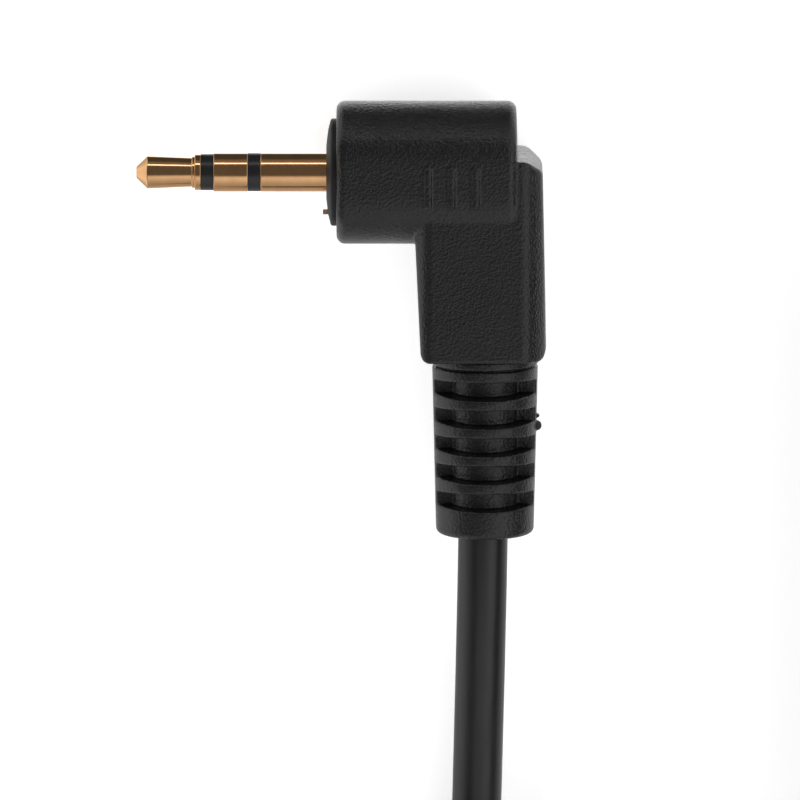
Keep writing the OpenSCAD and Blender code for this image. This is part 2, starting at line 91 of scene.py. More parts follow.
FLOOR = CAD_BOX[0][2] / MM
PIN_TIP = box_mm("tip_contact")[0][0]
HOUSING_LOW, HOUSING_HIGH = box_mm("plug_housing")
RELIEF_LOW, RELIEF_HIGH = box_mm("strain_relief")
EXIT_X = middle("strain_relief")[0]
COIL = middle("cord_coil")
COIL_OUT = (box_mm("cord_coil")[1][0] - box_mm("cord_coil")[0][0]) / 2
HAND_LOW = np.minimum(box_mm("case_bottom")[0], box_mm("case_top")[0])
HAND_HIGH = np.maximum(box_mm("case_bottom")[1], box_mm("case_top")[1])
HAND = (HAND_LOW + HAND_HIGH) / 2
HAND_SIZE = HAND_HIGH - HAND_LOW
PLATE_LOW, PLATE_HIGH = box_mm("lock_slide")
BUTTON_AT = middle("release_button")

PIN_R = 1.25
CORD_D = 3.2
CORD_R = CORD_D / 2
BLOCK_LOW = -11.9


# ---------------------------------------------------------------- meshes from fields

def round_and(a, b, r):
    """The overlap of two fields, with an edge of radius r where they meet."""
    corner = np.hypot(np.maximum(a + r, 0), np.maximum(b + r, 0))
    return np.minimum(np.maximum(a, b), -r) + corner


def round_or(a, b, r):
    """Two fields joined, with a fillet of radius r where they meet."""
    return -round_and(-a, -b, r)


def cut(a, tool, r):
    """Field a without the tool, with edges of radius r."""
    return round_and(a, -tool, r)


def slab(v, low, high, r=0.0):
    return round_and(low - v, v - high, r)


def plates(x, y, edges, r):
    """A convex outline from (x0, y0, x1, y1) edges that run anticlockwise, with round corners."""
    field = None
    for x0, y0, x1, y1 in edges:
        long = math.hypot(x1 - x0, y1 - y0)
        side = ((x - x0) * (y1 - y0) - (y - y0) * (x1 - x0)) / long
        field = side if field is None else round_and(field, side, r)
    return field


def outline(points):
    """The edges of a closed outline, for plates()."""
    return [(*a, *b) for a, b in zip(points, points[1:] + points[:1])]


def round_box(x, y, half_w, half_l, r):
    """A rectangle with round corners, about the origin."""
    qx, qy = abs(x) - (half_w - r), abs(y) - (half_l - r)
    return np.hypot(np.maximum(qx, 0), np.maximum(qy, 0)) + np.minimum(np.maximum(qx, qy), 0) - r


CORNERS = np.array([(i, j, k) for i in (0, 1) for j in (0, 1) for k in (0, 1)])
CELL_EDGES = [
    (a, b) for a in range(8) for b in range(a + 1, 8) if abs(CORNERS[a] - CORNERS[b]).sum() == 1
]


def surface(name, field, low, high, step):
    """A closed mesh piece where field(x, y, z) is zero, by surface nets on a grid of cells."""
    low, high = np.array(low, float), np.array(high, float)
    counts = np.ceil((high - low) / step).astype(int) + 1
    axes = [low[i] + step * np.arange(counts[i]) for i in range(3)]
    values = field(*np.meshgrid(*axes, indexing="ij"))
    inside = values < 0
    cells = tuple(counts - 1)
    full = sum(
        inside[i : i + cells[0], j : j + cells[1], k : k + cells[2]].astype(np.int8)
        for i, j, k in CORNERS
    )
    at = np.argwhere((full > 0) & (full < 8))
    index = np.full(cells, -1)
    index[tuple(at.T)] = np.arange(len(at))
    total, crossings = np.zeros((len(at), 3)), np.zeros(len(at))
    for a, b in CELL_EDGES:
        va, vb = values[tuple((at + CORNERS[a]).T)], values[tuple((at + CORNERS[b]).T)]
        crossed = (va < 0) != (vb < 0)
        share = np.where(crossed, va / np.where(crossed, va - vb, 1), 0)
        total += crossed[:, None] * (CORNERS[a] + share[:, None] * (CORNERS[b] - CORNERS[a]))
        crossings += crossed
    points = low + step * (at + total / crossings[:, None])
    for _ in range(3):
        points = onto(field, points, step)
    faces = []
    for axis in range(3):
        u, v = (axis + 1) % 3, (axis + 2) % 3
        a = inside
        b = np.roll(inside, -1, axis)
        for out in (False, True):
            edge = (a & ~b) if out else (~a & b)
            p = np.argwhere(edge)
            keep = (p[:, axis] < cells[axis]) & (p[:, u] > 0) & (p[:, v] > 0)
            keep &= (p[:, u] < cells[u]) & (p[:, v] < cells[v])
            p = p[keep]
            eu, ev = np.eye(3, dtype=int)[u], np.eye(3, dtype=int)[v]
            quad = [index[tuple(q.T)] for q in (p - eu - ev, p - ev, p, p - eu)]
            faces.append(np.stack(quad if out else quad[::-1], 1))
    return mesh_piece(name, points, np.concatenate(faces))


def onto(field, points, step):
    """Points moved onto the surface of a field by one Newton step, never far."""
    h = step * 0.05
    here = field(*points.T)
    slope = np.stack(
        [field(*(points + h * e).T) - field(*(points - h * e).T) for e in np.eye(3)], 1
    ) / (2 * h)
    size = np.maximum((slope**2).sum(1), 0.25)
    move = -(here / size)[:, None] * slope
    far = np.maximum(np.linalg.norm(move, axis=1) / (step * 0.5), 1)
    return points + move / far[:, None]


def mesh_piece(name, points, faces, smooth=True):
    """A mesh object from points in millimetres."""
    mesh = bpy.data.meshes.new(name)
    mesh.from_pydata((np.asarray(points) * MM).tolist(), [], [list(map(int, f)) for f in faces])
    mesh.polygons.foreach_set("use_smooth", [smooth] * len(mesh.polygons))
    mesh.update()
    piece = bpy.data.objects.new(name, mesh)
    bpy.context.scene.collection.objects.link(piece)
    return piece


# ---------------------------------------------------------------- meshes by turning

CREASE = math.radians(35)
HOLD = 0.04


def softened(profile, steps=4):
    """A profile of (u, v, radius) corners as points, each corner an arc of its radius."""
    points = []
    for i, (u, v, r) in enumerate(profile):
        here = np.array((u, v), float)
        if r == 0 or i in (0, len(profile) - 1):
            points.append(here)
            continue
        back, on = (np.array(profile[i + side][:2], float) - here for side in (-1, 1))
        long_back, long_on = np.linalg.norm(back), np.linalg.norm(on)
        back, on = back / long_back, on / long_on
        half = math.acos(np.clip(back @ on, -1, 1)) / 2
        away = min(r / math.tan(half), 0.48 * long_back, 0.48 * long_on)
        a, b = here + back * away, here + on * away
        for t in np.linspace(0, 1, steps + 1):
            points.append((1 - t) ** 2 * a + 2 * t * (1 - t) * here + t * t * b)
    return points


def held(points):
    """The points with one more near each end of a long stretch, so its shading stays straight."""
    kept = []
    for a, b in zip(points, points[1:]):
        kept.append(a)
        length = np.linalg.norm(b - a)
        if length > 4 * HOLD:
            kept += [a + (b - a) * HOLD / length, b - (b - a) * HOLD / length]
    return kept + points[-1:]


def turned(name, profile, place, around=96):
    """A piece turned from (along, radius, corner radius) points, which place() puts in the row
    frame. A profile that doesn't start on the axis is a closed loop."""
    points = held(softened(profile))
    angles = np.arange(around) * 2 * math.pi / around
    verts, rows = [], []
    for along, r in points:
        if r < 1e-6:
            rows.append([len(verts)] * around)
            verts.append(place(along, 0, 0))
        else:
            rows.append(list(range(len(verts), len(verts) + around)))
            verts.extend(place(along, r * math.cos(a), r * math.sin(a)) for a in angles)
    pairs = list(zip(rows, rows[1:]))
    if points[0][1] > 0:
        pairs.append((rows[-1], rows[0]))
    faces = []
    for low, high in pairs:
        for k in range(around):
            n = (k + 1) % around
            ring = [low[k], low[n], high[n], high[k]]
            faces.append([c for i, c in enumerate(ring) if c not in ring[:i]])
    return outward(mesh_piece(name, verts, faces))


def outward(piece):
    """The piece with its faces' normals pointing out, and its sharp corners shaded as corners."""
    mesh = bmesh.new()
    mesh.from_mesh(piece.data)
    bmesh.ops.recalc_face_normals(mesh, faces=mesh.faces)
    for edge in mesh.edges:
        edge.smooth = edge.calc_face_angle(0) < CREASE
    mesh.to_mesh(piece.data)
    mesh.free()
    return piece


def along_x(x, a, b):
    return (x, a, b)


def along_y_at(x, z):
    return lambda y, a, b: (x + a, y, z + b)


def along_z_at(x, y):
    return lambda z, a, b: (x + a, y + b, z)


# ---------------------------------------------------------------- materials

NOISE_LOW, NOISE_HIGH = 0.3, 0.7  # where most of a noise texture's values lie


class Look:
    """A procedural material: a Principled shader and the texture nodes that feed it."""

    def __init__(self, name, color, roughness, metallic=0.0):
        self.material = bpy.data.materials.new(name)
        self.material.use_nodes = True
        self.tree = self.material.node_tree
        self.shader = self.tree.nodes["Principled BSDF"]
        self.color, self.roughness = color, roughness
        for socket, value in (
            ("Base Color", (*color, 1)),
            ("Roughness", roughness),
            ("Metallic", metallic),
            ("IOR", 1.5),
        ):
            self.shader.inputs[socket].default_value = value
        self.place = self.tree.nodes.new("ShaderNodeTexCoord").outputs["Object"]
        self.normal = None

    def node(self, kind, inputs=(), **settings):
        node = self.tree.nodes.new(kind)
        for key, value in settings.items():
            setattr(node, key, value)
        for socket, value in inputs:
            if isinstance(value, bpy.types.NodeSocket):
                self.tree.links.new(value, node.inputs[socket])
            else:
                node.inputs[socket].default_value = value
        return node

    def stretched(self, sizes_mm):
        """The object's own coordinates, counted in features of these sizes along X, Y and Z."""
        scale = [1 / (size * MM) for size in sizes_mm]
        return self.node(
            "ShaderNodeMapping", [("Vector", self.place), ("Scale", scale)]
        ).outputs["Vector"]

    def noise(self, sizes_mm, detail=2.0):
        return self.node(
            "ShaderNodeTexNoise",
            [("Vector", self.stretched(sizes_mm)), ("Scale", 1.0), ("Detail", detail)],
        ).outputs["Fac"]

    def cells(self, size_mm, smooth):
        return self.node(
            "ShaderNodeTexVoronoi",
            [("Vector", self.stretched([size_mm] * 3)), ("Scale", 1.0), ("Smoothness", smooth)],
            feature="SMOOTH_F1",
        ).outputs["Distance"]

    def between(self, factor, low, high):
        """A noise factor's usual range spread over a range of values."""
        return self.node(
            "ShaderNodeMapRange",
            [
                ("Value", factor),
                ("From Min", NOISE_LOW),
                ("From Max", NOISE_HIGH),
                ("To Min", low),
                ("To Max", high),
            ],
        ).outputs["Result"]

    def mottle(self, factor, share):
        """The base colour made lighter and darker by a share, with the factor."""
        low, high = ([c * (1 + side * share) for c in self.color] for side in (-1, 1))
        color = self.color_ramp(factor, low, high)
        self.tree.links.new(color, self.shader.inputs["Base Color"])
        return self

    def color_ramp(self, factor, low, high):
        ramp = self.tree.nodes.new("ShaderNodeValToRGB")
        ramp.color_ramp.elements[0].color = (*low, 1)
        ramp.color_ramp.elements[1].color = (*high, 1)
        ramp.color_ramp.elements[0].position = NOISE_LOW
        ramp.color_ramp.elements[1].position = NOISE_HIGH
        self.tree.links.new(factor, ramp.inputs["Fac"])
        return ramp.outputs["Color"]

    def rough(self, factor, spread):
        """The roughness varied up and down by spread, with the factor."""
        value = self.between(factor, self.roughness - spread, self.roughness + spread)
        self.tree.links.new(value, self.shader.inputs["Roughness"])
        return self

    def bump(self, height, depth_mm):
        """One more layer of relief, depth_mm deep, over those before it."""
        inputs = [("Height", height), ("Distance", depth_mm * MM), ("Strength", 1.0)]
        if self.normal:
            inputs.append(("Normal", self.normal))
        self.normal = self.node("ShaderNodeBump", inputs).outputs["Normal"]
        self.tree.links.new(self.normal, self.shader.inputs["Normal"])
        return self


def grained(name, color, roughness, size_mm, depth_mm):
    """Moulded plastic with a fine pebbled grain."""
    look = Look(name, color, roughness)
    pebbles = look.cells(size_mm, 0.3)
    fine = look.noise([size_mm * 0.6] * 3, 2.0)
    look.bump(pebbles, depth_mm).bump(fine, depth_mm * 1.4)
    look.mottle(look.noise([2.5] * 3, 3.0), 0.12)
    return look.rough(look.noise([1.2] * 3, 2.0), 0.05)


def smooth_plastic(name, color, roughness):
    look = Look(name, color, roughness)
    look.bump(look.noise([0.8] * 3, 2.0), 0.004)
    look.mottle(look.noise([1.5] * 3, 3.0), 0.1)
    return look.rough(look.noise([0.7] * 3, 3.0), 0.06)


def plated(name, color, roughness):
    """Plated, turned metal: fine rings round the pin's axis and slight wear."""
    look = Look(name, color, roughness, metallic=1.0)
    look.bump(look.noise([0.05, 6, 6], 1.0), 0.0006)
    look.mottle(look.noise([0.9] * 3, 4.0), 0.07)
    return look.rough(look.noise([0.35] * 3, 3.0), 0.05)


def steel(name):
    look = Look(name, (0.56, 0.56, 0.58), 0.3, metallic=1.0)
    look.bump(look.noise([0.2] * 3, 3.0), 0.002)
    return look.rough(look.noise([0.5] * 3, 3.0), 0.08)


def jacket():
    """The cord's extruded jacket: satin, with faint streaks and ripples along it."""
    look = Look("cord_jacket", (0.011, 0.011, 0.0116), 0.33)
    look.bump(look.noise([0.5, 7, 0.5], 2.0), 0.012)
    look.bump(look.noise([0.12] * 3, 2.0), 0.0016)
    look.mottle(look.noise([0.6, 9, 0.6], 2.0), 0.15)
    return look.rough(look.noise([0.5, 5, 0.5], 3.0), 0.05)


LOOKS = {
    "gold": plated("gold_plating", (0.9, 0.52, 0.25), 0.1),
    "pin_insulator": smooth_plastic("pin_insulator", (0.012, 0.012, 0.013), 0.3),
    "contact_metal": plated("stamped_copper_alloy", (0.72, 0.42, 0.28), 0.3),
    "inner_moulding": smooth_plastic("inner_moulding", (0.008, 0.008, 0.0085), 0.55),
    "plug_pvc": grained("plug_pvc", (0.01, 0.01, 0.0105), 0.24, 0.19, 0.028),
    "wire_red": smooth_plastic("wire_red", (0.42, 0.012, 0.012), 0.35),
    "wire_white": smooth_plastic("wire_white", (0.75, 0.74, 0.7), 0.35),
    "wire_bare": plated("bare_copper", (0.8, 0.4, 0.25), 0.3),
    "cord_jacket": jacket(),
    "cord_tie": smooth_plastic("cord_tie", (0.012, 0.012, 0.012), 0.5),
    "case_plastic": grained("case_plastic", (0.016, 0.016, 0.017), 0.36, 0.3, 0.035),
    "screw_steel": steel("screw_steel"),
    "button_plastic": smooth_plastic("button_plastic", (0.11, 0.11, 0.115), 0.34),
    "slide_plastic": smooth_plastic("slide_plastic", (0.022, 0.022, 0.023), 0.4),
    "inner_plastic": smooth_plastic("inner_plastic", (0.03, 0.03, 0.03), 0.45),
    "block_plastic": smooth_plastic("block_plastic", (0.72, 0.67, 0.55), 0.45),
    "leaf_metal": plated("spring_bronze", (0.78, 0.56, 0.32), 0.28),
}


def dress(piece, slot):
    piece.data.materials.clear()
    piece.data.materials.append(LOOKS[slot].material)
    return piece


def finish_piece(piece, slot, body, *nodes):
    """Give a piece its material and body, and hide the CAD nodes that it stands for."""
    dress(piece, slot)
    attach(piece, body)
    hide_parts(*nodes)
    return piece


# ---------------------------------------------------------------- camera

SCALE_MM = 0.0644  # one image pixel at the pin's height
HALF_PICTURE = 400  # pixels
DISTANCE = 900.0
TILT = math.radians(9.8)  # the camera leans towards the plug's closed side
AIM = Vector((4.73, -14.85, 0)) * MM


def make_camera():
    camera = bpy.data.objects.new("camera", bpy.data.cameras.new("camera"))
    bpy.context.scene.collection.objects.link(camera)
    back = Vector((0, math.sin(TILT), math.cos(TILT)))
    camera.location = AIM + back * DISTANCE * MM
    camera.rotation_euler = (-TILT, 0, 0)
    camera.data.angle = 2 * math.atan(HALF_PICTURE * SCALE_MM / DISTANCE)
    camera.data.clip_start = 0.01
    bpy.context.scene.camera = camera


make_camera()


# ---------------------------------------------------------------- cord

# The route from inside the plug's block to where the cord lies in the coil
PLUG_ROUTE = [
    (10.2, -9.5, 0), (10.2, -12, 0), (10.18, -15, 0), (10.15, -18, 0), (10.12, -21, 0),
    (10.08, -24, -0.05), (10.03, -27, -0.2), (9.97, -30, -0.5), (9.91, -33, -0.95),
    (9.84, -36, -1.45), (9.77, -39, -1.95), (9.65, -42.5, -2.4), (9.18, -45.9, -2.55),
    (7.85, -49, -2.5), (5.74, -51.7, -2.35),
]
# The route from the coil's top turn into the hand switch
HAND_ROUTE = [
    (15, -83.4, 6.7), (18.5, -83.4, 7.2), (22, -83.4, 7.4), (25.5, -83.4, 7.25), (29, -83.4, 6.8),
    (32.5, -83.4, 6.15), (36, -83.15, 5.45), (39.2, -82.1, 4.8), (42, -80.2, 4.25),
    (44.2, -77.7, 3.85), (45.8, -74.7, 3.65), (46.4, -71.5, 3.7), (46.5, -68, 3.85),
    (46.5, -64, 4.0), (46.5, -59, 4.0), (46.5, -54, 4.0), (46.5, -50, 4.0),
]
COIL_R = COIL_OUT - CORD_D
COIL_LOW = COIL[2] - CORD_D  # height of the lowest layer's middle
COIL_START, COIL_END, COIL_STEP = 120, 2070, 7.5
# Each turn's slot in the bundle as (out or in, layer), and the angles where the cord changes slots
SLOTS = [(0.5, 0), (-0.5, 0), (-0.5, 1), (0.5, 1), (0.5, 2), (-0.5, 2)]
FIRST_CHANGE, CHANGE_WIDTH, CHANGE_EVERY = 380, 100, 332.5
LIFT, LIFT_OVER = 1.7, 70  # how far the last turn rises, and over which angle


def coil_turns():
    """The turns of the coil, each in its slot of a bundle two wide and three high."""
    points = []
    for angle in np.arange(COIL_START, COIL_END + 1, COIL_STEP):
        across, layer = SLOTS[0]
        for k, (next_across, next_layer) in enumerate(SLOTS[1:]):
            t = (angle - FIRST_CHANGE - k * CHANGE_EVERY) / CHANGE_WIDTH
            t = min(max(t, 0), 1)
            ease = t * t * (3 - 2 * t)
            across += (next_across - SLOTS[k][0]) * ease
            layer += (next_layer - SLOTS[k][1]) * ease
        r = COIL_R + across * CORD_D
        a = math.radians(angle)
        lift = max(0, (angle - COIL_END) / LIFT_OVER + 1) ** 2 * LIFT
        z = COIL_LOW + layer * CORD_D + lift
        points.append((COIL[0] + r * math.cos(a), COIL[1] + r * math.sin(a), z))
    return points


def smooth_line(points, steps=4):
    """Points on a Catmull-Rom curve through the given ones."""
    p = [np.array(q, float) for q in points]
    p = [2 * p[0] - p[1], *p, 2 * p[-1] - p[-2]]
    line = []
    for a, b, c, d in zip(p, p[1:], p[2:], p[3:]):
        for t in np.arange(steps) / steps:
            line.append(
                0.5
                * (2 * b + (c - a) * t + (2 * a - 5 * b + 4 * c - d) * t**2)
                + 0.5 * (3 * b - a - 3 * c + d) * t**3
            )
    return [*line, p[-2]]


def curve_piece(name, line, radius, around=8):
    """A round tube along a line, as one open spline."""
    curve = bpy.data.curves.new(name, "CURVE")
    curve.dimensions = "3D"
    curve.bevel_depth = radius * MM
    curve.bevel_resolution = around
    curve.use_fill_caps = True
    spline = curve.splines.new("POLY")
    spline.points.add(len(line) - 1)
    for point, q in zip(spline.points, line):
        point.co = (*(np.array(q) * MM), 1)
    spline.use_smooth = True
    piece = bpy.data.objects.new(name, curve)
    bpy.context.scene.collection.objects.link(piece)
    return piece


CORD_LINE = smooth_line(PLUG_ROUTE + coil_turns() + HAND_ROUTE)

cord = curve_piece("cord", CORD_LINE, CORD_R, 10)
finish_piece(cord, "cord_jacket", MAIN, "cord_plug_side", "cord_coil", "cord_hand_side")


# ---------------------------------------------------------------- plug: pin

SLEEVE_L, BAND_L, RING_L = 4.22, 0.82, 2.2
RING_BACK = -SLEEVE_L - BAND_L
RING_FRONT = RING_BACK - RING_L
TIP_BACK = RING_FRONT - BAND_L
NECK_R, TIP_COLLAR_R = 1.17, 1.16
EDGE = 0.05  # rounding of turned edges


def make_pin():
    """Three gilt contacts and the two bands between them, each turned as its own ring."""
    tip = [
        (PIN_TIP, 0, 0), (PIN_TIP, 0.37, 0.1), (PIN_TIP + 0.7, 1.06, 0.12),
        (TIP_BACK - 0.58, 0.94, 0.02), (TIP_BACK - 0.56, 1.02, EDGE), (TIP_BACK - 0.4, 1.02, 0.01),
        (TIP_BACK - 0.38, TIP_COLLAR_R, EDGE), (TIP_BACK, TIP_COLLAR_R, EDGE), (TIP_BACK, 0.35, 0),
        (4.6, 0.35, 0), (4.6, 0, 0),
    ]
    ring = [
        (RING_BACK, 0.8, 0), (RING_BACK, PIN_R, EDGE), (RING_FRONT, PIN_R, EDGE),
        (RING_FRONT, 0.55, 0), (2.6, 0.55, 0), (2.6, 0.8, 0),
    ]
    sleeve = [
        (-SLEEVE_L, 1.0, 0), (-SLEEVE_L, PIN_R, EDGE), (0.02, PIN_R, 0), (0.02, 1.45, 0),
        (0.7, 1.45, 0), (0.7, 2.2, 0), (1.2, 2.2, 0), (1.2, 1.0, 0),
    ]
    tip_band = [
        (TIP_BACK, 0.35, 0), (TIP_BACK, NECK_R, 0.03), (RING_FRONT, NECK_R, 0.03),
        (RING_FRONT, 0.55, 0), (3.0, 0.55, 0), (3.0, 0.35, 0),
    ]
    ring_band = [
        (RING_BACK, 0.8, 0), (RING_BACK, PIN_R - 0.02, 0.03), (-SLEEVE_L, PIN_R - 0.02, 0.03),
        (-SLEEVE_L, 1.0, 0), (1.9, 1.0, 0), (1.9, 0.8, 0),
    ]
    for name, profile, slot in (
        ("pin_tip", tip, "gold"),
        ("pin_ring", ring, "gold"),
        ("pin_sleeve", sleeve, "gold"),
        ("pin_band_front", tip_band, "pin_insulator"),
        ("pin_band_rear", ring_band, "pin_insulator"),
    ):
        yield turned(name, profile, along_x, 128), slot


PIN_NODES = ("tip_contact", "ring_contact", "sleeve_contact", "tip_insulator", "ring_insulator")
for (piece, slot), node in zip(make_pin(), PIN_NODES):
    finish_piece(piece, slot, MAIN, node)


# ---------------------------------------------------------------- plug: mouldings

SHOULDER = HOUSING_LOW[0]
BARREL_R = 4.6
BARREL_HALF = 4.05
BLOCK_HALF, BLOCK_BEVEL = 3.75, 1.15
BARREL_END = 12.3
MOULD_R, MOULD_END, COLLAR_R = 2.9, 6.0, 3.45
RIB_X, RIB_Y, RIB_H = (6.52, 8.03, 9.57), -0.5, 0.15


def make_collar():
    """The first moulding: a collar with a domed rim round the pin's root, and its shank."""
    profile = [
        (0.02, PIN_R, 0), (0.0, PIN_R + 0.08, 0.03), (0.0, 1.75, 0.15), (0.12, 2.75, 0.6),
        (0.3, COLLAR_R, 0.18), (SHOULDER + 0.02, COLLAR_R, 0), (SHOULDER + 0.02, MOULD_R, 0),
        (MOULD_END, MOULD_R, 0.1), (MOULD_END, 0.5, 0), (3.1, 0.5, 0), (3.1, PIN_R, 0),
    ]
    return turned("plug_collar", profile, along_x, 128)


def block_field(x, y, z):
    """The upright block that the cord leaves: a leaning plan with bevelled edges."""
    plan = outline([
        (5.5, 0), (6.05, BLOCK_LOW + 0.3), (6.35, BLOCK_LOW), (13.8, BLOCK_LOW),
        (14.14, BLOCK_LOW + 0.5), (13.88, 0.4), (12.88, 1.2), (6, 1.2),
    ])
    h, bevel = BLOCK_HALF, BLOCK_BEVEL
    section = outline([
        (5.3, h - bevel), (5.3, -h + bevel), (6.4, -h), (12.9, -h), (13.95, -h + bevel),
        (14.25, -h + 1.9), (14.25, h - 1.9), (13.95, h - bevel), (12.9, h), (6.4, h),
    ])
    flat = plates(x, y, plan, 0.22)
    return round_and(flat, plates(x, z, section, 0.3), 0.2)


def barrel_field(x, y, z):
    across = round_and(np.hypot(y, z) - BARREL_R, abs(z) - BARREL_HALF, 0.5)
    bulge = 0.006 * (y * y + z * z)
    return round_and(across, slab(x, SHOULDER + bulge * 0.3, BARREL_END - bulge), 0.55)


def rib_field(x, y, z):
    """Three low upright ribs on each flat, for grip."""
    ribs = None
    for rib_x in RIB_X:
        rib = round_box(x - rib_x, y - RIB_Y, 0.22, 1.35, 0.2)
        ribs = rib if ribs is None else np.minimum(ribs, rib)
    return round_and(ribs, abs(z) - BARREL_HALF - RIB_H, 0.1)


def inside_field(x, y, z):
    """The room inside the housing for the first moulding, the wires and the cord."""
    bore = np.maximum(np.hypot(y, z) - MOULD_R, x - MOULD_END)
    chamber = np.maximum(slab(x, 5, EXIT_X + 1.6), np.maximum(slab(y, -3.5, 1.7), abs(z) - 2.2))
    cord_bore = np.maximum(np.hypot(x - EXIT_X, z) - CORD_R - 0.1, y)
    root = np.maximum(np.hypot(x - EXIT_X, z) - 2.9, y + 10.4)
    return np.minimum(np.minimum(bore, chamber), np.minimum(cord_bore, root))


def housing_field(x, y, z):
    body = round_or(barrel_field(x, y, z), block_field(x, y, z), 0.12)
    body = round_or(body, rib_field(x, y, z), 0.08)
    return cut(body, inside_field(x, y, z), 0.05)


def make_housing():
    room = np.array((0.4, 0.4, 0.4))
    low = np.minimum(HOUSING_LOW, (0, BLOCK_LOW, -BARREL_R)) - room
    return surface("plug_housing_grained", housing_field, low, HOUSING_HIGH + room, 0.11)


RELIEF_R, RELIEF_END_R, RELIEF_CORE_R = 3.42, 3.15, 2.2
FIRST_SLOT, SLOT_PITCH, SLOTS_EACH = 1.9, 1.82, 5
SEAM_Y, SEAM_HALF, SEAM_R = BLOCK_LOW - 0.58, 0.07, 3.15
WEB_HALF = 0.8  # half the thickness of the webs between the slots of the two faces
SLOT_HALF, SLOT_FLARE = 0.41, 0.069  # half of a slot's height at the web, and its growth outwards
NIBS = ((-16.5, 0.34, 0.34), (-15.85, 0.16, 0.2))  # (y, half length, how far out) of the flash


def relief_field(x, y, z):
    """The tapered sleeve: five slots on each face leave ribs at the parting plane."""
    across = np.hypot(x - EXIT_X, z)
    low = RELIEF_LOW[1]
    share = (BLOCK_LOW - y) / (BLOCK_LOW - low)
    body = across - RELIEF_R + (RELIEF_R - RELIEF_END_R) * np.clip(share, -0.2, 1.2)
    body = np.maximum(round_and(body, low - y, 0.38), y - BLOCK_LOW)
    seam = np.maximum(abs(y - SEAM_Y) - SEAM_HALF, SEAM_R - across)
    body = cut(body, seam, 0.06)
    neck = np.maximum(across - 2.85, slab(y, BLOCK_LOW - 0.8, -10.4))
    body = np.minimum(body, neck)
    for i in range(SLOTS_EACH):
        middle_y = BLOCK_LOW - FIRST_SLOT - i * SLOT_PITCH
        half = SLOT_HALF + SLOT_FLARE * (abs(z) - WEB_HALF)
        tool = round_and(abs(y - middle_y) - half, WEB_HALF - abs(z), 0.1)
        tool = np.maximum(tool, RELIEF_CORE_R - across)
        body = cut(body, tool, 0.16)
    for nib_y, half_l, out in NIBS:
        spread = np.array([(x - EXIT_X - RELIEF_R + 0.1) / out, (y - nib_y) / half_l, z / 0.35])
        body = round_or(body, 0.3 * (np.linalg.norm(spread, axis=0) - 1), 0.05)
    return np.maximum(body, CORD_R + 0.03 - across)


def make_relief():
    room = np.array((0.5, 0.3, 0.3))
    low, high = RELIEF_LOW - room, RELIEF_HIGH + room
    return surface("strain_relief_slotted", relief_field, low, high, 0.1)


finish_piece(make_collar(), "inner_moulding", MAIN, "inner_mould")
finish_piece(make_housing(), "plug_pvc", MAIN, "plug_housing")
relief = finish_piece(make_relief(), "plug_pvc", MAIN, "strain_relief")


# ---------------------------------------------------------------- cord: tie round the coil

TIE_T, TIE_AT, TIE_WIDTH = 0.4, math.radians(215), 3.1
TWIST_L, TWIST_PITCH, STRAND_R = 5.0, 2.4, 0.34


def tie_field(x, y, z):
    """A flat twist tie round the bundle, with its two ends twisted together outwards."""
    dx, dy = x - COIL[0], y - COIL[1]
    along = dx * math.cos(TIE_AT) + dy * math.sin(TIE_AT)
    aside = -dx * math.sin(TIE_AT) + dy * math.cos(TIE_AT)
    bundle = round_box(along - COIL_R, z - COIL[2], CORD_D, 1.5 * CORD_D, CORD_R)
    bundle_out = bundle - TIE_T * (0.75 + 0.25 * np.cos(aside * 2 * math.pi / TIE_WIDTH) ** 2)
    band = round_and(abs(aside) - TIE_WIDTH / 2, np.maximum(bundle_out, -bundle - 0.02), 0.1)
    out = along - COIL_OUT
    turn = out * 2 * math.pi / TWIST_PITCH
    up = z - COIL[2]
    strands = [
        np.hypot(aside - at * np.cos(turn), up - at * np.sin(turn)) - STRAND_R
        for at in (-STRAND_R, STRAND_R)
    ]
    twist = round_and(np.minimum(*strands), slab(out, 0, TWIST_L), 0.15)
    return np.minimum(band, twist)


def make_tie():
    low, high = box_mm("cord_tie")
    return surface("coil_tie", tie_field, low - 0.5, high + 0.5, 0.14)


finish_piece(make_tie(), "cord_tie", MAIN, "cord_tie")


# ---------------------------------------------------------------- hand switch: case

HAND_X, HAND_Y = HAND[:2]
HALF_W, HALF_L, HALF_H = HAND_SIZE / 2
PARTING = FLOOR + HALF_H  # height where the two shells meet, and of the cord's entry
WALL = 1.5
WELL_V, WELL_HALF_W, WELL_HALF_L, WELL_CORNER = 8.0, 7.7, 14.2, 4.2
PLATE_Z = 10.3
WELL_Z = PLATE_Z - 0.1
TRAY_T = 1.4
BUTTON_V = BUTTON_AT[1] - HAND_Y
CASE_SCREWS = ((0, 26.3), (-8.5, -19.5), (8.5, -19.5))
BOSS_R, SCREW_R, RECESS_R, RECESS_DEPTH = 2.3, 1.0, 2.1, 2
SEAT_HALF_W, SEAT_V, SEAT_Z = 7, (-16, -9), 3.3  # what the contact block stands on
ANVIL_HALF_W, ANVIL_V, ANVIL_W = 6, (-27, -23), 1.3  # what the cord is clamped to
GROMMET_HOLE_R, GROMMET_FLANGE_R, FLANGE_V = 3.6, 4.4, -29.4


def pod_field(u, v, w):
    """The rounded pod that both shells are cut from. Each outline is let out a little, so that
    the blends between them bring the pod back to its full size."""
    blend = 1.6
    out = blend * (1 - math.sqrt(0.5))
    plan = round_box(u, v, HALF_W, HALF_L, 12.5) - out
    side = round_box(v, w, HALF_L, HALF_H, 7) - out
    section = round_box(u, w, HALF_W, HALF_H, 6) - out
    return round_and(round_and(plan, side, blend), section, blend)


def bosses(u, v, r):
    """Distance to the nearest of the three case screws' axes, less r."""
    return np.minimum.reduce([np.hypot(u - a, v - b) for a, b in CASE_SCREWS]) - r


